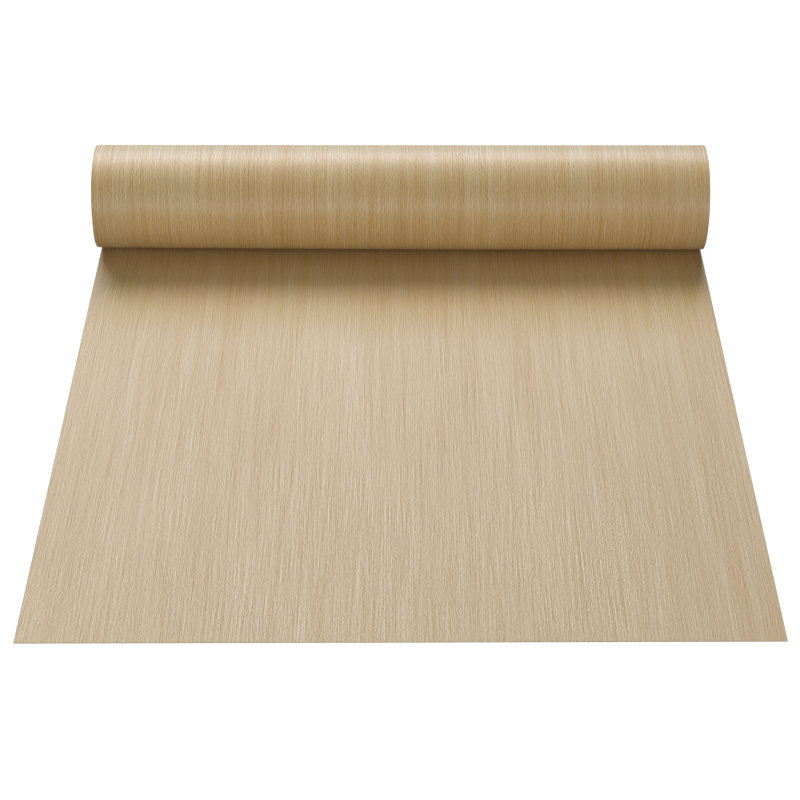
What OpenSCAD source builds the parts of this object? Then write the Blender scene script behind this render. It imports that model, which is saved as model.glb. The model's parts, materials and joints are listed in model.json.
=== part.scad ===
// Wood veneer sheet: one long sheet with part of it lying flat and the rest wound in a loose roll.
// The sheet leaves the roll at its lowest line, so the flat run and the roll rest on the same surface.
// +X runs along the roll, -Y is the free end of the flat run and Z = 0 is the surface it lies on.

/* [Sheet] */
// Width of the sheet, along the roll
sheet_width = 610; // [300:1:1250]
// Thickness of the veneer
sheet_thickness = 0.6; // [0.4:0.1:1]
// Length of the whole sheet, unrolled
sheet_length = 2440; // [1500:10:2700]
// Length that lies flat, from under the roll's axis to the free edge
flat_length = 605; // [300:5:900]

/* [Roll] */
// Outside diameter of the roll
roll_diameter = 105; // [90:1:160]
// Air between one turn and the next
turn_gap = 0.7; // [0.3:0.1:1]
// How far the air between the turns reaches in from each end of the roll
gap_depth = 2; // [1:0.5:5]

/* [Hidden] */
$fn = 180;

veneer_colour = [0.78, 0.68, 0.53];
cut_margin = 1;

roll_radius = roll_diameter / 2;
turn_pitch = sheet_thickness + turn_gap;
wound_length = sheet_length - flat_length;
middle_radius = roll_radius - sheet_thickness / 2;

// The winding is a chain of half circles. Each is half a pitch smaller than the one outside it, and
// their centres take turns at two points half a pitch apart, so the surface stays smooth where they
// meet. N half turns hold PI * (N * middle_radius - N * (N - 1) * turn_pitch / 4) of the sheet.
// Solving that for N gives how many half turns take up the wound length.
quadratic_b = middle_radius + turn_pitch / 4;
half_turns = round(
    (quadratic_b - sqrt(quadratic_b * quadratic_b - turn_pitch * wound_length / PI))
    / (turn_pitch / 2)
);

function outer_radius(k) = roll_radius - k * turn_pitch / 2;
function centre_height(k) = roll_radius + (k % 2) * turn_pitch / 2;

bore_radius = outer_radius(half_turns - 1) - sheet_thickness;
bore_height = centre_height(1);

// The origin is under the middle of the whole part, so the roll's axis lies behind it.
roll_axis_y = (flat_length - roll_radius) / 2;

// Half of a round outline: half turn 0 is the back of the roll and half turn 1 is its front.
module half_round(k, radius) {
    translate([0, centre_height(k)])
        intersection() {
            circle(r = radius);
            translate([k % 2 == 0 ? 0 : -roll_diameter, -roll_diameter])
                square([roll_diameter, 2 * roll_diameter]);
        }
}

// The air between half turn k and the turn inside it.
module half_gap(k) {
    difference() {
        half_round(k, outer_radius(k) - sheet_thickness);
        translate([0, centre_height(k)])
            circle(r = outer_radius(k) - turn_pitch);
    }
}

// End view of the roll with all its turns as one wall round the bore.
module roll_section() {
    difference() {
        union() {
            half_round(0, outer_radius(0));
            half_round(1, outer_radius(1));
        }
        translate([0, bore_height])
            circle(r = bore_radius);
    }
}

module flat_section() {
    translate([-flat_length, 0])
        square([flat_length, sheet_thickness]);
}

// Stands a section up across the sheet and pulls it along X, from x_start over the given width.
module across_sheet(x_start, width) {
    translate([x_start, roll_axis_y, 0])
        rotate([90, 0, 90])
            linear_extrude(height = width)
                children();
}

// The winding seen on both ends: one spiral line of air from the nip to the innermost turn.
module end_gaps() {
    for (x_start = [-sheet_width / 2 - cut_margin, sheet_width / 2 - gap_depth])
        for (k = [0 : half_turns - 3])
            across_sheet(x_start, gap_depth + cut_margin)
                half_gap(k);
}

module veneer_sheet() {
    color(veneer_colour)
        difference() {
            across_sheet(-sheet_width / 2, sheet_width)
                union() {
                    roll_section();
                    flat_section();
                }
            end_gaps();
        }
}

veneer_sheet();
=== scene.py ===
import json
import math

import bpy
import numpy as np
from bpy.props import FloatProperty, FloatVectorProperty, IntProperty, PointerProperty
from mathutils import Matrix, Vector


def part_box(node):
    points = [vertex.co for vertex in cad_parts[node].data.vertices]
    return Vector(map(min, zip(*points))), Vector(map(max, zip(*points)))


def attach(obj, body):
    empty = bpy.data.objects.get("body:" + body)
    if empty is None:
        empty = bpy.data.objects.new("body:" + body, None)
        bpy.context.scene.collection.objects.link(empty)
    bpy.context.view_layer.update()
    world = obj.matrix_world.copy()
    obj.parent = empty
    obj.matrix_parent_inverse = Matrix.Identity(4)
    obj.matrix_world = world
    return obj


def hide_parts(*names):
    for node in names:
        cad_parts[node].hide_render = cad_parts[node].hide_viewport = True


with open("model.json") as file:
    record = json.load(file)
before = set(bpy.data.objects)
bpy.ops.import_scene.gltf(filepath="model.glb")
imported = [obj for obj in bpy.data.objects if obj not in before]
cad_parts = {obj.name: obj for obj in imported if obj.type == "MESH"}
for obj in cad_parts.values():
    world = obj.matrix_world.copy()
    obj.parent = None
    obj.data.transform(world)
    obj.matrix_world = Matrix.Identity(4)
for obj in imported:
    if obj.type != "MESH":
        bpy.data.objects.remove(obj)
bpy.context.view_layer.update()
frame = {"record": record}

bl_info = {
    "name": "Wood Veneer Sheet",
    "version": (1, 0, 0),
    "blender": (4, 5, 0),
    "location": "3D View > Sidebar > Veneer",
    "description": "Makes one long sheet of wood veneer, part lying flat and part wound in a loose roll",
    "category": "Object",
}

MM = 0.001
BODY = "root"
CAD_NODE = "veneer_sheet"
PIECE = "wound_veneer_sheet"

# How much a fibre's tone changes red, green and blue
LINE_TINT = (0.065, 0.1, 0.17)
# How strongly the grain shows on each face
UPPER_GRAIN = 0.84
LOWER_GRAIN = 1.2
# How far the worn side edges go towards the colour of the cut edge
RIM_SHADE = 0.6
# Height of the relief that the fibres and the pores of the cut edge make
FIBRE_RELIEF = 0.012 * MM
PORE_RELIEF = 0.03 * MM

# The camera that was fitted to the photograph: place in metres, and turns in degrees
CAMERA_PLACE = (0.0010, -1.54235, 1.10599)
CAMERA_PITCH = 35.6627
CAMERA_YAW = -0.0607
CAMERA_ROLL = -0.0723
CAMERA_LENS = 93.20

# Every main lamp faces this spot, from a little to its left
LAMP_TARGET = (0.0, 0.1, 0.03)
LAMP_X = -0.4
FLOOR_HEIGHT = -0.2 * MM

# Sizes that the frame gives. The roll's axis is where the record's bore mount is.
cad_low, cad_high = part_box(CAD_NODE)
bore = next(m for m in frame["record"]["mounts"] if m["kind"] == "bore")
roll_axis_y = bore["pos_m"][1]


# Helpers for node trees


def plug(tree, socket, value):
    """Links a socket to another one, or sets it to a plain value."""
    if isinstance(value, bpy.types.NodeSocket):
        tree.links.new(value, socket)
    else:
        socket.default_value = value


def add(tree, kind, inputs=None, **settings):
    """A new node with these settings, and with its inputs linked or set by name or number."""
    node = tree.nodes.new(kind)
    for name, value in settings.items():
        setattr(node, name, value)
    for name, value in (inputs or {}).items():
        plug(tree, node.inputs[name], value)
    return node


def maths(tree, operation, *values):
    """The output of one Math node."""
    node = add(tree, "ShaderNodeMath", dict(enumerate(values)), operation=operation)
    return node.outputs[0]


def vector_maths(tree, operation, *values):
    """The output of one Vector Math node."""
    node = add(tree, "ShaderNodeVectorMath", dict(enumerate(values)), operation=operation)
    return node.outputs[0]


def vector(tree, x=0.0, y=0.0, z=0.0):
    """One vector from three values."""
    return add(tree, "ShaderNodeCombineXYZ", {0: x, 1: y, 2: z}).outputs[0]


def ramp(tree, value, low, high, to_low=0.0, to_high=1.0, smooth=False):
    """Value carried from one range to another, and held at its ends."""
    kind = "SMOOTHSTEP" if smooth else "LINEAR"
    sockets = {0: value, 1: low, 2: high, 3: to_low, 4: to_high}
    return add(tree, "ShaderNodeMapRange", sockets, interpolation_type=kind).outputs[0]


def noise(tree, place, detail=2.0):
    """Smooth noise about zero, mostly from -0.3 to 0.3, with features about one unit across."""
    sockets = {"Vector": place, "Scale": 1.0, "Detail": detail, "Roughness": 0.5}
    node = add(tree, "ShaderNodeTexNoise", sockets, noise_dimensions="3D")
    return maths(tree, "SUBTRACT", node.outputs[0], 0.5)


def new_inputs(tree, sockets):
    """Gives a tree its named inputs: (name, kind, default) each."""
    for name, kind, default in sockets:
        socket = tree.interface.new_socket(name, in_out="INPUT", socket_type=kind)
        if default is not None:
            socket.default_value = default


def new_outputs(tree, sockets):
    """Gives a tree its named outputs: (name, kind) each."""
    for name, kind in sockets:
        tree.interface.new_socket(name, in_out="OUTPUT", socket_type=kind)


def arrange(tree):
    """Sets the nodes out in columns, each to the right of what feeds it."""
    column = {}

    def depth(node):
        if node.name not in column:
            column[node.name] = 0
            feeders = [link.from_node for s in node.inputs for link in s.links]
            column[node.name] = 1 + max(map(depth, feeders), default=-1)
        return column[node.name]

    filled = {}
    for node in tree.nodes:
        at = depth(node)
        node.location = (220 * at, -180 * filled.get(at, 0))
        filled[at] = filled.get(at, 0) + 1


# Shape of the wound sheet


def wound_sheet_tree():
    """Geometry Nodes that roll up a flat grid. The winding is a chain of half circles about two
    centres half a pitch apart, each half circle half a pitch smaller than the one outside it."""
    tree = bpy.data.node_groups.new("Wound sheet", "GeometryNodeTree")
    tree.is_modifier = True
    length, whole = "NodeSocketFloat", "NodeSocketInt"
    new_inputs(tree, [
        ("Width", length, 0.61),
        ("Thickness", length, 0.6 * MM),
        ("Flat Length", length, 0.605),
        ("Wound Length", length, 1.835),
        ("Roll Radius", length, 52.5 * MM),
        ("Roll Axis Y", length, 0.0),
        ("Turn Gap", length, 0.7 * MM),
        ("Columns", whole, 62),
        ("Flat Rows", whole, 60),
        ("Wound Rows", whole, 560),
        ("Tuck", length, 0.0),
        ("Sag", length, 0.0),
        ("Swell", length, 0.0),
        ("Out Of Square", length, 0.0),
        ("Side Slip", length, 0.0),
        ("Ripple", length, 0.0),
        ("Seed", length, 0.0),
        ("Upper Face", "NodeSocketMaterial", None),
        ("Lower Face", "NodeSocketMaterial", None),
        ("Cut Edge", "NodeSocketMaterial", None),
    ])
    new_outputs(tree, [("Geometry", "NodeSocketGeometry")])
    given = tree.nodes.new("NodeGroupInput").outputs

    # A flat grid, its rows close together where the sheet is wound
    rows = maths(tree, "ADD", given["Flat Rows"], given["Wound Rows"])
    grid = add(tree, "GeometryNodeMeshGrid", {
        "Size X": given["Width"],
        "Size Y": 1.0,
        "Vertices X": given["Columns"],
        "Vertices Y": maths(tree, "ADD", rows, 1.0),
    })
    start = tree.nodes.new("GeometryNodeInputPosition").outputs[0]
    corner = add(tree, "ShaderNodeSeparateXYZ", {0: start}).outputs
    across = corner[0]
    share = maths(tree, "ADD", corner[1], 0.5)
    nip_share = maths(tree, "DIVIDE", given["Flat Rows"], rows)
    before_nip = maths(tree, "MULTIPLY", given["Flat Length"], -1.0)
    flat = ramp(tree, share, 0.0, nip_share, before_nip, 0.0)
    wound = ramp(tree, share, nip_share, 1.0, 0.0, given["Wound Length"])
    along = maths(tree, "ADD", flat, wound)

    # Which half turn a point is on, from the length wound so far
    pitch = maths(tree, "ADD", given["Thickness"], given["Turn Gap"])
    half_pitch = maths(tree, "DIVIDE", pitch, 2.0)
    half_thickness = maths(tree, "DIVIDE", given["Thickness"], 2.0)
    middle = maths(tree, "SUBTRACT", given["Roll Radius"], half_thickness)
    linear_term = maths(tree, "ADD", middle, maths(tree, "DIVIDE", pitch, 4.0))
    spent = maths(tree, "DIVIDE", maths(tree, "MULTIPLY", pitch, wound), math.pi)
    square = maths(tree, "MULTIPLY", linear_term, linear_term)
    root = maths(tree, "SQRT", maths(tree, "SUBTRACT", square, spent))
    turns = maths(tree, "DIVIDE", maths(tree, "SUBTRACT", linear_term, root), half_pitch)
    half_turn = maths(tree, "FLOOR", maths(tree, "ADD", turns, 0.0001))
    front = maths(tree, "MODULO", half_turn, 2.0)

    # Where that half turn starts, its radius, and how far round it the point is
    before = maths(tree, "SUBTRACT", half_turn, 1.0)
    shrink = maths(tree, "MULTIPLY", maths(tree, "MULTIPLY", half_turn, before), half_pitch)
    full = maths(tree, "MULTIPLY", half_turn, middle)
    starts = maths(tree, "SUBTRACT", full, maths(tree, "DIVIDE", shrink, 2.0))
    past = maths(tree, "SUBTRACT", wound, maths(tree, "MULTIPLY", starts, math.pi))
    radius = maths(tree, "SUBTRACT", middle, maths(tree, "MULTIPLY", half_turn, half_pitch))
    angle = maths(tree, "DIVIDE", past, radius)
    side = maths(tree, "SUBTRACT", 1.0, maths(tree, "MULTIPLY", front, 2.0))
    out_y = maths(tree, "MULTIPLY", side, maths(tree, "SINE", angle))
    out_z = maths(tree, "MULTIPLY", maths(tree, "MULTIPLY", side, -1.0),
                  maths(tree, "COSINE", angle))
    inward = vector(tree, 0.0, maths(tree, "MULTIPLY", out_y, -1.0),
                    maths(tree, "MULTIPLY", out_z, -1.0))

    # Small faults of a hand-wound roll. The lower front sags towards the flat run but is tucked in
    # at the left end, where the top also stands a little higher. The free edge is cut a little out
    # of square.
    below = maths(tree, "GREATER_THAN", angle, math.pi / 2)
    bulge = maths(tree, "SINE", maths(tree, "MULTIPLY", angle, 2.0))
    bulge = maths(tree, "MULTIPLY", maths(tree, "MULTIPLY", bulge, bulge), below)
    bulge = maths(tree, "MULTIPLY", bulge, front)
    left_end = maths(tree, "DIVIDE", given["Width"], -2.0)
    leftwards = maths(tree, "POWER", ramp(tree, across, 0.1, left_end), 1.5)
    tucked = maths(tree, "MULTIPLY", maths(tree, "MULTIPLY", bulge, leftwards), given["Tuck"])
    tuck = maths(tree, "SUBTRACT", tucked, maths(tree, "MULTIPLY", bulge, given["Sag"]))
    high = maths(tree, "MULTIPLY", maths(tree, "ADD", out_z, 1.0), 0.5)
    high = maths(tree, "MULTIPLY", high, ramp(tree, across, 0.15, left_end))
    swell = maths(tree, "MULTIPLY", high, given["Swell"])
    crooked = maths(tree, "MULTIPLY", across, given["Out Of Square"])
    cut = maths(tree, "MULTIPLY", flat, maths(tree, "SUBTRACT", 1.0, crooked))

    # The turns have slipped sideways, but not the outermost one
    seed = given["Seed"]
    one_turn = 0.33
    slow = noise(tree, vector(tree, maths(tree, "DIVIDE", wound, one_turn), seed, 0.0))
    hidden = ramp(tree, wound, one_turn, 2 * one_turn)
    slip = maths(tree, "MULTIPLY", maths(tree, "MULTIPLY", slow, hidden), given["Side Slip"])

    # The innermost edge springs out against its neighbour, and takes up most of the air there
    tip = maths(tree, "SUBTRACT", given["Wound Length"], 30 * MM)
    springs = ramp(tree, wound, tip, given["Wound Length"], smooth=True)
    spring = maths(tree, "MULTIPLY", springs, maths(tree, "MULTIPLY", given["Turn Gap"], -0.7))

    # The flat run lies a little unevenly, but not close to the roll
    ripple_place = vector(tree, maths(tree, "DIVIDE", across, 0.11),
                          maths(tree, "DIVIDE", flat, 0.14), seed)
    ripple = maths(tree, "ADD", noise(tree, ripple_place, detail=1.0), 0.35)
    lying = ramp(tree, flat, -0.02, -0.12, smooth=True)
    ripple = maths(tree, "MULTIPLY", maths(tree, "MULTIPLY", ripple, lying), given["Ripple"])

    # Middle of the veneer, then its upper face
    inset = maths(tree, "SUBTRACT", maths(tree, "ADD", tuck, spring), swell)
    reach = maths(tree, "SUBTRACT", radius, inset)
    centre_z = maths(tree, "ADD", given["Roll Radius"], maths(tree, "MULTIPLY", front, half_pitch))
    slid = maths(tree, "SUBTRACT", slip, maths(tree, "MULTIPLY", tucked, 0.35))
    x = maths(tree, "ADD", across, slid)
    y = maths(tree, "ADD", maths(tree, "ADD", given["Roll Axis Y"], cut),
              maths(tree, "MULTIPLY", out_y, reach))
    z = maths(tree, "ADD", maths(tree, "ADD", centre_z, ripple),
              maths(tree, "MULTIPLY", out_z, reach))
    centre_line = vector(tree, x, y, z)
    lift = add(tree, "ShaderNodeVectorMath", {0: inward, "Scale": half_thickness},
               operation="SCALE").outputs[0]
    upper = vector_maths(tree, "ADD", centre_line, lift)

    # The sheet's own coordinates, in metres from its left free corner, follow it into the roll
    free_edge = maths(tree, "ADD", along, given["Flat Length"])
    left_edge = maths(tree, "ADD", across, maths(tree, "DIVIDE", given["Width"], 2.0))
    own_place = vector(tree, left_edge, free_edge, 0.0)
    named = grid.outputs["Mesh"]
    for name, kind, domain, value in (
        ("Sheet", "FLOAT2", "CORNER", own_place),
        ("inward", "FLOAT_VECTOR", "POINT", inward),
    ):
        named = add(tree, "GeometryNodeStoreNamedAttribute",
                    {"Geometry": named, "Name": name, "Value": value},
                    data_type=kind, domain=domain).outputs[0]
    upper_face = add(tree, "GeometryNodeSetPosition",
                     {"Geometry": named, "Position": upper}).outputs[0]
    upper_face = add(tree, "GeometryNodeSetMaterial",
                     {"Geometry": upper_face, "Material": given["Upper Face"]}).outputs[0]

    # The lower face and the rim, a thickness away
    kept_inward = add(tree, "GeometryNodeInputNamedAttribute", {"Name": "inward"},
                      data_type="FLOAT_VECTOR").outputs[0]
    outwards = vector_maths(tree, "MULTIPLY", kept_inward, (-1.0, -1.0, -1.0))
    shell = add(tree, "GeometryNodeExtrudeMesh", {
        "Mesh": upper_face,
        "Offset": outwards,
        "Offset Scale": given["Thickness"],
        "Individual": False,
    }, mode="FACES")
    lower = add(tree, "GeometryNodeSetMaterial", {
        "Geometry": shell.outputs["Mesh"],
        "Selection": shell.outputs["Top"],
        "Material": given["Lower Face"],
    }).outputs[0]
    lower = add(tree, "GeometryNodeSetMaterial", {
        "Geometry": lower,
        "Selection": shell.outputs["Side"],
        "Material": given["Cut Edge"],
    }).outputs[0]
    turned = add(tree, "GeometryNodeFlipFaces", {"Mesh": lower}).outputs[0]
    joined = tree.nodes.new("GeometryNodeJoinGeometry")
    tree.links.new(turned, joined.inputs[0])
    tree.links.new(upper_face, joined.inputs[0])
    welded = add(tree, "GeometryNodeMergeByDistance",
                 {"Geometry": joined.outputs[0], "Distance": 0.01 * MM}).outputs[0]
    result = tree.nodes.new("NodeGroupOutput")
    tree.links.new(welded, result.inputs[0])
    arrange(tree)
    return tree


# Wood materials


def grain_group():
    """Straight grain that runs along the sheet: long fibres side by side, short flecks, broader
    changes of tone, and a slow wander that keeps the lines from being ruled."""
    group = bpy.data.node_groups.new("Veneer grain", "ShaderNodeTree")
    number = "NodeSocketFloat"
    new_inputs(group, [
        ("Place", "NodeSocketVector", None),
        ("Light Wood", "NodeSocketColor", (0.67, 0.56, 0.42, 1.0)),
        ("Dark Wood", "NodeSocketColor", (0.55, 0.43, 0.28, 1.0)),
        ("Line Tint", "NodeSocketVector", LINE_TINT),
        ("Fibres", number, 1.0),
        ("Flecks", number, 1.0),
        ("Tone", number, 1.0),
        ("Roughness", number, 0.55),
        ("Seed", number, 0.0),
    ])
    new_outputs(group, [
        ("Color", "NodeSocketColor"),
        ("Roughness", number),
        ("Height", number),
    ])
    given = group.nodes.new("NodeGroupInput").outputs
    place = add(group, "ShaderNodeSeparateXYZ", {0: given["Place"]}).outputs
    seed = given["Seed"]

    def at(x, width, length, number):
        """A place in the noise, for features of this width and length in millimetres."""
        shift = maths(group, "ADD", seed, number * 7.3)
        return vector(group, maths(group, "DIVIDE", x, width * MM),
                      maths(group, "DIVIDE", place[1], length * MM), shift)

    # The lines wander sideways, far and slowly, and a little over a hand's length
    slow = maths(group, "MULTIPLY", noise(group, at(place[0], 70, 500, 1), detail=0.0), 4 * MM)
    quick = maths(group, "MULTIPLY", noise(group, at(place[0], 9, 160, 2), detail=0.0), 0.2 * MM)
    x = maths(group, "ADD", place[0], maths(group, "ADD", slow, quick))

    def total(first, layers):
        """The sum of layers of streaks: (width, length, strength) each."""
        whole = None
        for number, (width, length, strength) in enumerate(layers, first):
            layer = noise(group, at(x, width, length, number), detail=1.0)
            layer = maths(group, "MULTIPLY", layer, strength)
            whole = maths(group, "ADD", whole, layer) if whole else layer
        return whole

    def lanes(number, width, length, strength, step=0):
        """Fibres side by side in narrow lanes. Each lane reads the noise far from where the one
        next to it does, so that its tone comes and goes on its own."""
        lane = maths(group, "FLOOR", maths(group, "DIVIDE", x, width * MM))
        lane = maths(group, "ADD", lane, step)
        far_apart = maths(group, "MULTIPLY", lane, 7.31)
        across = maths(group, "MULTIPLY", far_apart, width * MM)
        layer = noise(group, at(across, width, length, number), detail=1.0)
        return maths(group, "MULTIPLY", layer, strength)

    # Taking off part of the lane before it makes each fibre stand out from its neighbour
    single = maths(group, "ADD", lanes(3, 0.85, 60, 7.0), lanes(3, 0.85, 60, -5.4, step=-1))
    fibres = maths(group, "ADD", single, lanes(4, 1.45, 110, 1.6))

    # Flecks are short, and the tone changes over widths from a few millimetres to centimetres
    flecks = maths(group, "ADD", lanes(5, 0.85, 2.4, 6.2), lanes(5, 0.85, 2.4, -4.6, step=-1))
    flecks = maths(group, "ADD", flecks, total(6, ((2.2, 4.5, 1.3),)))
    tone = total(7, ((2.6, 150, 0.95), (5.0, 180, 1.2), (10.0, 220, 1.15), (22.0, 300, 0.85),
                     (60.0, 500, 0.45)))
    fibres = maths(group, "MULTIPLY", fibres, given["Fibres"])
    flecks = maths(group, "MULTIPLY", flecks, given["Flecks"])
    tone = maths(group, "MULTIPLY", tone, given["Tone"])
    lines = maths(group, "ADD", fibres, flecks)

    share = maths(group, "ADD", tone, 0.5)
    colour = add(group, "ShaderNodeMix", {
        "Factor": share,
        6: given["Dark Wood"],
        7: given["Light Wood"],
    }, data_type="RGBA", clamp_factor=False).outputs[2]
    lines_3 = vector(group, lines, lines, lines)
    streaks = vector_maths(group, "MULTIPLY_ADD", lines_3, given["Line Tint"], (1.0, 1.0, 1.0))
    colour = vector_maths(group, "MULTIPLY", colour, streaks)
    # Light fibres are a little smoother than dark ones
    gloss = maths(group, "ADD", given["Roughness"], maths(group, "MULTIPLY", lines, -0.06))
    result = group.nodes.new("NodeGroupOutput")
    plug(group, result.inputs["Color"], colour)
    plug(group, result.inputs["Roughness"], gloss)
    plug(group, result.inputs["Height"], lines)
    arrange(group)
    return group


def edge_group():
    """How near a point is to one of the long side edges: 1 on the edge and 0 inside the sheet."""
    group = bpy.data.node_groups.new("Side edge", "ShaderNodeTree")
    number = "NodeSocketFloat"
    new_inputs(group, [
        ("Place", "NodeSocketVector", None),
        ("Sheet Width", number, 0.61),
        ("Rim Width", number, 1.5 * MM),
        ("Seed", number, 0.0),
    ])
    new_outputs(group, [("Mask", number)])
    given = group.nodes.new("NodeGroupInput").outputs
    place = add(group, "ShaderNodeSeparateXYZ", {0: given["Place"]}).outputs
    other = maths(group, "SUBTRACT", given["Sheet Width"], place[0])
    near = maths(group, "MINIMUM", place[0], other)
    along = maths(group, "DIVIDE", place[1], 18 * MM)
    worn = noise(group, vector(group, along, given["Seed"], 0.0), detail=3.0)
    reach = maths(group, "MULTIPLY", given["Rim Width"], maths(group, "ADD", worn, 1.0))
    mask = ramp(group, maths(group, "DIVIDE", near, reach), 0.0, 1.0, 1.0, 0.0, smooth=True)
    result = group.nodes.new("NodeGroupOutput")
    plug(group, result.inputs["Mask"], mask)
    arrange(group)
    return group


def tinted(colour, share):
    """A wood colour made lighter or darker. Blue moves most and red least, as it does in wood."""
    powers = (0.45, 1.0, 2.15)
    return tuple(c * (1 + share) ** p for c, p in zip(colour, powers)) + (1.0,)


def wood_material(name, colour, roughness, contrast, settings, groups, seed):
    """One side of the veneer, with its own base colour, finish and place in the grain."""
    material = bpy.data.materials.new(name)
    material.use_nodes = True
    tree = material.node_tree
    tree.nodes.clear()
    grain, edge = groups
    place = add(tree, "ShaderNodeUVMap", uv_map="Sheet").outputs[0]
    wood = tree.nodes.new("ShaderNodeGroup")
    wood.node_tree = grain
    for key, value in (
        ("Place", place),
        ("Light Wood", tinted(colour, settings.grain_contrast * contrast)),
        ("Dark Wood", tinted(colour, -settings.grain_contrast * contrast)),
        ("Line Tint", tuple(share * contrast for share in LINE_TINT)),
        ("Roughness", roughness),
        ("Seed", seed),
    ):
        plug(tree, wood.inputs[key], value)
    border = tree.nodes.new("ShaderNodeGroup")
    border.node_tree = edge
    plug(tree, border.inputs["Place"], place)
    plug(tree, border.inputs["Sheet Width"], cad_high.x - cad_low.x)
    plug(tree, border.inputs["Seed"], seed)
    shaded = maths(tree, "MULTIPLY", border.outputs[0], RIM_SHADE)
    base = add(tree, "ShaderNodeMix", {
        "Factor": shaded,
        6: wood.outputs["Color"],
        7: tuple(settings.edge_colour) + (1.0,),
    }, data_type="RGBA")
    bump = add(tree, "ShaderNodeBump", {
        "Strength": 1.0,
        "Distance": FIBRE_RELIEF,
        "Height": wood.outputs["Height"],
    })
    shader = add(tree, "ShaderNodeBsdfPrincipled", {
        "Base Color": base.outputs[2],
        "Roughness": wood.outputs["Roughness"],
        "Specular IOR Level": 1.0,
        "Normal": bump.outputs[0],
    })
    result = tree.nodes.new("ShaderNodeOutputMaterial")
    plug(tree, result.inputs[0], shader.outputs[0])
    arrange(tree)
    return material


def cut_edge_material(settings, groups):
    """The knife-cut rim, where the wood's pores are cut across or along."""
    material = bpy.data.materials.new("Veneer cut edge")
    material.use_nodes = True
    tree = material.node_tree
    tree.nodes.clear()
    place = add(tree, "ShaderNodeUVMap", uv_map="Sheet").outputs[0]
    depth = add(tree, "ShaderNodeAttribute", attribute_name="through").outputs["Fac"]
    wood = tree.nodes.new("ShaderNodeGroup")
    wood.node_tree = groups[0]
    for key, value in (
        ("Place", place),
        ("Light Wood", tinted(settings.edge_colour, 0.3)),
        ("Dark Wood", tinted(settings.edge_colour, -0.3)),
        ("Roughness", 0.75),
        ("Seed", 11.0),
    ):
        plug(tree, wood.inputs[key], value)
    spot = add(tree, "ShaderNodeSeparateXYZ", {0: place}).outputs
    fibres = vector(tree, maths(tree, "DIVIDE", spot[0], 0.35 * MM),
                    maths(tree, "DIVIDE", spot[1], 2.0 * MM), maths(tree, "MULTIPLY", depth, 2.0))
    pores = ramp(tree, noise(tree, fibres, detail=2.0), 0.02, 0.16, 0.0, 0.5)
    base = add(tree, "ShaderNodeMix", {
        "Factor": pores,
        6: wood.outputs["Color"],
        7: tinted(settings.edge_colour, -0.6),
    }, data_type="RGBA")
    bump = add(tree, "ShaderNodeBump", {
        "Strength": 1.0,
        "Distance": PORE_RELIEF,
        "Height": maths(tree, "MULTIPLY", pores, -1.0),
    })
    shader = add(tree, "ShaderNodeBsdfPrincipled", {
        "Base Color": base.outputs[2],
        "Roughness": wood.outputs["Roughness"],
        "Specular IOR Level": 0.25,
        "Normal": bump.outputs[0],
    })
    result = tree.nodes.new("ShaderNodeOutputMaterial")
    plug(tree, result.inputs[0], shader.outputs[0])
    arrange(tree)
    return material


# The piece itself


def plain_mesh(tree, values, name):
    """Runs a Geometry Nodes tree on an empty mesh and returns the result as a plain mesh."""
    holder = bpy.data.objects.new(name + "_maker", bpy.data.meshes.new(name + "_maker"))
    bpy.context.scene.collection.objects.link(holder)
    modifier = holder.modifiers.new("Nodes", "NODES")
    modifier.node_group = tree
    for item in tree.interface.items_tree:
        if item.item_type == "SOCKET" and item.in_out == "INPUT" and item.name in values:
            modifier[item.identifier] = values[item.name]
    holder.update_tag()
    evaluated = holder.evaluated_get(bpy.context.evaluated_depsgraph_get())
    mesh = bpy.data.meshes.new_from_object(evaluated)
    mesh.name = name
    bpy.data.objects.remove(holder)

    # The empty mesh leaves an empty material slot ahead of the real ones
    slots = list(mesh.materials)
    kept = [n for n, material in enumerate(slots) if material]
    new_number = np.zeros(len(slots), dtype=np.int32)
    new_number[kept] = np.arange(len(kept))
    chosen = new_number[read(mesh.polygons, "material_index", 1, np.int32)[:, 0]]
    mesh.materials.clear()
    for n in kept:
        mesh.materials.append(slots[n])
    mesh.polygons.foreach_set("material_index", chosen)
    return mesh


def read(layer, key, size, kind=np.float32):
    """One of a mesh's value lists as an array."""
    values = np.empty(len(layer) * size, dtype=kind)
    layer.foreach_get(key, values)
    return values.reshape(-1, size)


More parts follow.
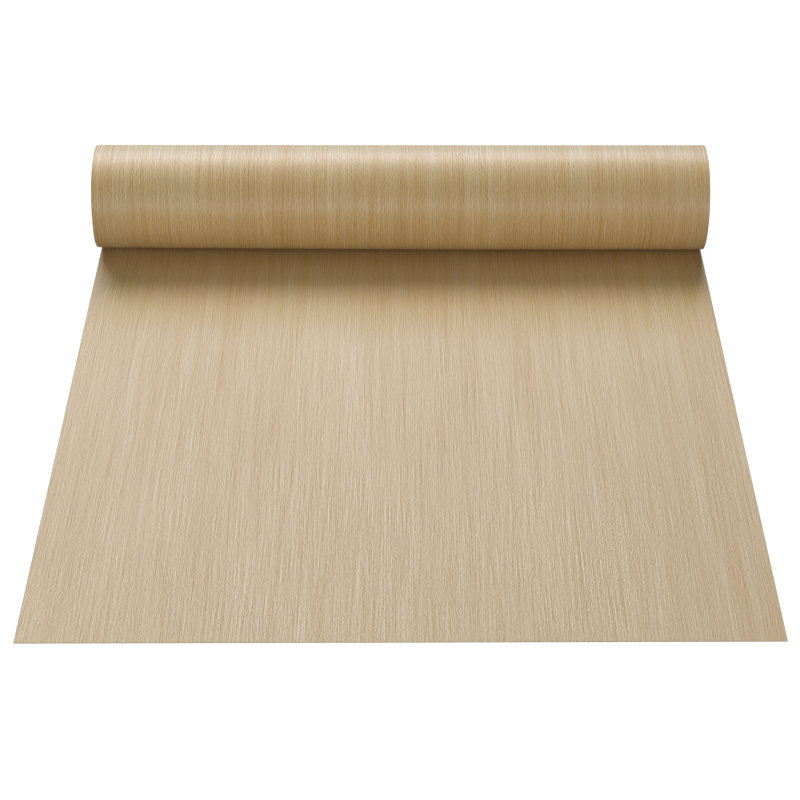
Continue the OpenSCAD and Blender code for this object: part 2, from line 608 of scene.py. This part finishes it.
def lay_out_faces(mesh, width, length, flat, outer_turn, inner_turn):
    """Adds the depth through the veneer, and a second UV map that gives both faces their full width
    and gives the parts that show more of the map than the turns that are hidden."""
    spots = read(mesh.uv_layers["Sheet"].data, "uv", 2)
    material = read(mesh.polygons, "material_index", 1, np.int32)[:, 0]
    sizes = read(mesh.polygons, "loop_total", 1, np.int32)[:, 0]
    side = np.repeat(material, sizes)
    corner_point = read(mesh.loops, "vertex_index", 1, np.int32)[:, 0]
    face_of = np.repeat(np.arange(len(sizes)), sizes)

    lower = np.zeros(len(mesh.vertices), dtype=bool)
    lower[corner_point[side == 1]] = True
    depth = lower.astype(np.float32)
    mesh.attributes.new("through", "FLOAT", "POINT").data.foreach_set("value", depth)

    x, along = spots[:, 0], spots[:, 1]
    upper_stops = (0.0, flat, length - inner_turn, length)
    lower_stops = (0.0, flat, flat + outer_turn, length)
    u = 0.003 + 0.994 * x / width
    v = np.where(
        side == 0,
        np.interp(along, upper_stops, (0.003, 0.30, 0.40, 0.50)),
        np.interp(along, lower_stops, (0.51, 0.66, 0.86, 0.955)),
    )

    # Each of the four rims has a narrow strip of its own
    rim = side == 2
    count = np.bincount(face_of, minlength=len(sizes))
    mid_x = np.bincount(face_of, weights=x) / count
    mid_along = np.bincount(face_of, weights=along) / count
    mid_x, mid_along = mid_x[face_of], mid_along[face_of]
    across = depth[corner_point] * 0.006
    tiny = 0.05 * MM
    strips = (
        (mid_x < tiny, along / length, 0.962),
        (mid_x > width - tiny, along / length, 0.972),
        (mid_along < tiny, x / width, 0.982),
        (mid_along > length - tiny, x / width, 0.991),
    )
    for where, run, start in strips:
        chosen = rim & where
        u[chosen] = 0.003 + 0.994 * run[chosen]
        v[chosen] = start + across[chosen]
    places = np.stack([u, v], 1).astype(np.float32).ravel()
    mesh.uv_layers.new(name="OFBake").data.foreach_set("uv", places)


class VeneerSizes(bpy.types.PropertyGroup):
    """Sizes of the sheet, and the small faults of the roll"""
    thickness: FloatProperty(
        name="Thickness", description="Thickness of the veneer",
        default=0.6 * MM, min=0.4 * MM, max=1.0 * MM, precision=5, unit="LENGTH")
    flat_length: FloatProperty(
        name="Flat length", description="Length that lies flat, from under the roll's axis",
        default=roll_axis_y - cad_low.y, unit="LENGTH")
    whole_length: FloatProperty(
        name="Whole length", description="Length of the whole sheet, unrolled",
        default=2.44, unit="LENGTH")
    turn_gap: FloatProperty(
        name="Turn gap", description="Air between one turn and the next",
        default=0.7 * MM, precision=5, unit="LENGTH")
    tuck: FloatProperty(
        name="Tuck", description="How far the roll's left end is tucked in above the flat run",
        default=3.4 * MM, precision=5, unit="LENGTH")
    sag: FloatProperty(
        name="Sag", description="How far the roll's lower front sags towards the flat run",
        default=1.2 * MM, precision=5, unit="LENGTH")
    swell: FloatProperty(
        name="Swell", description="How much higher the roll stands at its left end",
        default=0.9 * MM, precision=5, unit="LENGTH")
    out_of_square: FloatProperty(
        name="Out of square", description="Slope of the cut at the free edge, per metre",
        default=0.005)
    side_slip: FloatProperty(
        name="Side slip", description="Sideways play of the inner turns",
        default=3.0 * MM, precision=5, unit="LENGTH")
    ripple: FloatProperty(
        name="Ripple", description="How uneven the flat run lies",
        default=0.1 * MM, precision=5, unit="LENGTH")
    seed: IntProperty(name="Seed", description="Fixes the small faults of the roll", default=4)


class VeneerWood(bpy.types.PropertyGroup):
    """Colours and finish of the wood"""
    upper_colour: FloatVectorProperty(
        name="Upper face", description="Wood on the face that lies up, and inside the roll",
        default=(0.532, 0.368, 0.177), subtype="COLOR", min=0, max=1)
    # The underside is set a little lighter than the upper face. This is painted light that brightens the
    # roll, whose outside this face is.
    lower_colour_with_painted_light: FloatVectorProperty(
        name="Lower face", description="Wood on the underside, which is the outside of the roll",
        default=(0.553, 0.382, 0.181), subtype="COLOR", min=0, max=1)
    edge_colour: FloatVectorProperty(
        name="Cut edge", description="Wood at the cut edges and along the worn side edges",
        default=(0.43, 0.295, 0.155), subtype="COLOR", min=0, max=1)
    grain_contrast: FloatProperty(
        name="Grain contrast", description="How far light and dark streaks differ",
        default=0.10, min=0, max=0.5, subtype="FACTOR")
    upper_roughness: FloatProperty(
        name="Upper roughness", description="Roughness of the face that lies up",
        default=0.58, min=0, max=1, subtype="FACTOR")
    lower_roughness: FloatProperty(
        name="Lower roughness", description="Roughness of the underside",
        default=0.50, min=0, max=1, subtype="FACTOR")


class VeneerStudio(bpy.types.PropertyGroup):
    """The floor and the lamps"""
    floor_size: FloatProperty(
        name="Floor size", description="Side of the pale floor", default=14.0, unit="LENGTH")
    power: FloatProperty(
        name="Lamps", description="Power that the lamps share out",
        default=120.0, min=0, unit="POWER")


class VENEER_OT_sheet(bpy.types.Operator):
    """Make the veneer sheet, part lying flat and part wound in a loose roll"""
    bl_idname = "veneer.make_sheet"
    bl_label = "Veneer sheet"

    def execute(self, context):
        sizes = context.scene.veneer_sizes
        wood = context.scene.veneer_wood
        groups = grain_group(), edge_group()
        upper = wood_material("Veneer upper face", wood.upper_colour, wood.upper_roughness,
                              UPPER_GRAIN, wood, groups, 1.0)
        # The lower face's colour carries a little painted light that brightens the roll
        lower = wood_material("Veneer lower face", wood.lower_colour_with_painted_light, wood.lower_roughness,
                              LOWER_GRAIN, wood, groups, 2.0)
        cut = cut_edge_material(wood, groups)

        width = cad_high.x - cad_low.x
        radius = cad_high.z / 2
        wound = sizes.whole_length - sizes.flat_length
        mesh = plain_mesh(wound_sheet_tree(), {
            "Width": width,
            "Thickness": sizes.thickness,
            "Flat Length": sizes.flat_length,
            "Wound Length": wound,
            "Roll Radius": radius,
            "Roll Axis Y": roll_axis_y,
            "Turn Gap": sizes.turn_gap,
            "Tuck": sizes.tuck,
            "Sag": sizes.sag,
            "Swell": sizes.swell,
            "Out Of Square": sizes.out_of_square,
            "Side Slip": sizes.side_slip,
            "Ripple": sizes.ripple,
            "Seed": float(sizes.seed),
            "Upper Face": upper,
            "Lower Face": lower,
            "Cut Edge": cut,
        }, PIECE)
        if not mesh.polygons:
            raise RuntimeError("the wound sheet came out empty")
        names = [material.name for material in mesh.materials]
        if names != [upper.name, lower.name, cut.name]:
            raise RuntimeError("the sheet's materials are in another order: " + str(names))
        mesh.attributes.remove(mesh.attributes["inward"])
        inner_turn = 2 * math.pi * bore["dims"]["r_mm"] * MM
        outer_turn = 2 * math.pi * radius
        lay_out_faces(mesh, width, sizes.whole_length, sizes.flat_length, outer_turn, inner_turn)
        mesh.set_sharp_from_angle(angle=math.radians(40))
        sheet = bpy.data.objects.new(PIECE, mesh)
        context.scene.collection.objects.link(sheet)
        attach(sheet, BODY)
        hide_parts(CAD_NODE)
        return {"FINISHED"}


def lamp(name, place, target, size, power, colour):
    """A soft lamp that faces its target and that the camera doesn't see."""
    light = bpy.data.lights.new(name, "AREA")
    light.shape = "RECTANGLE"
    light.size, light.size_y = size
    light.energy = power
    light.color = colour
    holder = bpy.data.objects.new(name, light)
    holder.location = place
    aim = Vector(target) - Vector(place)
    holder.rotation_euler = aim.to_track_quat("-Z", "Y").to_euler()
    holder.visible_camera = False
    bpy.context.scene.collection.objects.link(holder)


def photo_camera():
    """The photograph's camera: a long lens that looks down on the sheet from its free end."""
    pitch, yaw, roll = map(math.radians, (CAMERA_PITCH, CAMERA_YAW, CAMERA_ROLL))
    forward = Vector((math.sin(yaw) * math.cos(pitch), math.cos(yaw) * math.cos(pitch),
                      -math.sin(pitch)))
    level = Vector((math.cos(yaw), -math.sin(yaw), 0))
    above = level.cross(forward)
    right = level * math.cos(roll) + above * math.sin(roll)
    up = above * math.cos(roll) - level * math.sin(roll)
    camera = bpy.data.cameras.new("Camera")
    camera.sensor_width = 36
    camera.lens = CAMERA_LENS
    camera.clip_end = 100
    holder = bpy.data.objects.new("Camera", camera)
    turn = Matrix((right, up, -forward)).transposed()
    holder.matrix_world = Matrix.Translation(CAMERA_PLACE) @ turn.to_4x4()
    bpy.context.scene.collection.objects.link(holder)
    bpy.context.scene.camera = holder


def floor_material():
    """Pale and matt, and brought up to white for the camera's own rays."""
    material = bpy.data.materials.new("Floor")
    material.use_nodes = True
    tree = material.node_tree
    tree.nodes.clear()
    diffuse = add(tree, "ShaderNodeBsdfDiffuse", {"Color": (0.25, 0.25, 0.25, 1.0)})
    glow = add(tree, "ShaderNodeEmission", {"Color": (1, 1, 1, 1), "Strength": 0.9})
    seen = tree.nodes.new("ShaderNodeLightPath").outputs["Is Camera Ray"]
    nothing = add(tree, "ShaderNodeEmission", {"Strength": 0.0})
    lit = add(tree, "ShaderNodeMixShader", {0: seen, 1: nothing.outputs[0], 2: glow.outputs[0]})
    both = add(tree, "ShaderNodeAddShader", {0: diffuse.outputs[0], 1: lit.outputs[0]})
    result = tree.nodes.new("ShaderNodeOutputMaterial")
    plug(tree, result.inputs[0], both.outputs[0])
    arrange(tree)
    return material


def studio_world():
    """White behind the floor, and only a little even light on the sheet."""
    world = bpy.data.worlds.new("Studio")
    world.use_nodes = True
    tree = world.node_tree
    tree.nodes.clear()
    seen = tree.nodes.new("ShaderNodeLightPath").outputs["Is Camera Ray"]
    strength = ramp(tree, seen, 0.0, 1.0, 0.002, 1.0)
    sky = add(tree, "ShaderNodeBackground", {"Color": (1, 1, 1, 1), "Strength": strength})
    result = tree.nodes.new("ShaderNodeOutputWorld")
    plug(tree, result.inputs[0], sky.outputs[0])
    arrange(tree)
    bpy.context.scene.world = world


class VENEER_OT_studio(bpy.types.Operator):
    """Make the pale floor, the soft lamps and the camera"""
    bl_idname = "veneer.set_studio"
    bl_label = "Floor, lamps and camera"

    def execute(self, context):
        studio = context.scene.veneer_studio
        half = studio.floor_size / 2
        mesh = bpy.data.meshes.new("Floor")
        corners = [(x, y, FLOOR_HEIGHT)
                   for x, y in ((-half, -half), (half, -half), (half, half), (-half, half))]
        mesh.from_pydata(corners, [], [(0, 1, 2, 3)])
        mesh.materials.append(floor_material())
        floor = bpy.data.objects.new("Floor", mesh)
        context.scene.collection.objects.link(floor)
        studio_world()

        # Each lamp: how far round the roll it is, in degrees up from the front horizon, then its
        # distance, which is also the width of its panel, and the height of its panel in metres, its
        # share of the power, and its colour
        lamps = (
            ("Front light, low", 10, 4.0, 0.5, 0.455, (1.0, 0.925, 0.80)),
            ("Front light, middle", 26, 4.0, 1.0, 0.120, (0.7, 0.9, 1.0)),
            ("Front light, high", 44, 4.0, 1.0, 0.180, (1.0, 0.9, 0.55)),
            ("Top light", 88, 4.0, 1.0, 0.240, (0.97, 1.0, 1.0)),
            ("Back light, upper", 121, 2.8, 0.6, 0.287, (1.0, 1.0, 0.93)),
            ("Back light, middle", 132, 2.8, 0.45, 0.233, (0.885, 0.925, 1.0)),
            ("Back light, lower", 143.5, 2.8, 0.55, 0.260, (0.52, 0.67, 1.0)),
            ("Back light, level", 173, 2.8, 0.35, 0.075, (0.61, 0.9, 1.0)),
        )
        for name, turn, away, height, share, colour in lamps:
            turn = math.radians(turn)
            place = (LAMP_X, LAMP_TARGET[1] - away * math.cos(turn),
                     LAMP_TARGET[2] + away * math.sin(turn))
            lamp(name, place, LAMP_TARGET, (away, height), share * studio.power, colour)

        # A low, weak light on each end of the roll, so that its turns show in views from the side
        for name, side in (("Left end light", -1), ("Right end light", 1)):
            place = (3.0 * side, 0.28, 0.2)
            roll_end = (0.3 * side, 0.28, 0.05)
            lamp(name, place, roll_end, (1.0, 0.2), 0.08 * studio.power, (1.0, 1.0, 1.0))

        photo_camera()
        context.scene.view_settings.view_transform = "Standard"
        return {"FINISHED"}


class VENEER_PT_panel(bpy.types.Panel):
    """Lists the settings and the operators in the sidebar"""
    bl_label = "Wood veneer sheet"
    bl_idname = "VENEER_PT_panel"
    bl_space_type = "VIEW_3D"
    bl_region_type = "UI"
    bl_category = "Veneer"

    def draw(self, context):
        for settings in ("veneer_sizes", "veneer_wood", "veneer_studio"):
            group = getattr(context.scene, settings)
            for name in group.__annotations__:
                self.layout.prop(group, name)
        self.layout.operator("veneer.make_sheet")
        self.layout.operator("veneer.set_studio")


CLASSES = (VeneerSizes, VeneerWood, VeneerStudio, VENEER_OT_sheet, VENEER_OT_studio,
           VENEER_PT_panel)


def register():
    for item in CLASSES:
        bpy.utils.register_class(item)
    bpy.types.Scene.veneer_sizes = PointerProperty(type=VeneerSizes)
    bpy.types.Scene.veneer_wood = PointerProperty(type=VeneerWood)
    bpy.types.Scene.veneer_studio = PointerProperty(type=VeneerStudio)


def unregister():
    del bpy.types.Scene.veneer_studio
    del bpy.types.Scene.veneer_wood
    del bpy.types.Scene.veneer_sizes
    for item in reversed(CLASSES):
        bpy.utils.unregister_class(item)


def main():
    register()
    bpy.ops.veneer.make_sheet()
    bpy.ops.veneer.set_studio()


if __name__ == "__main__":
    main()
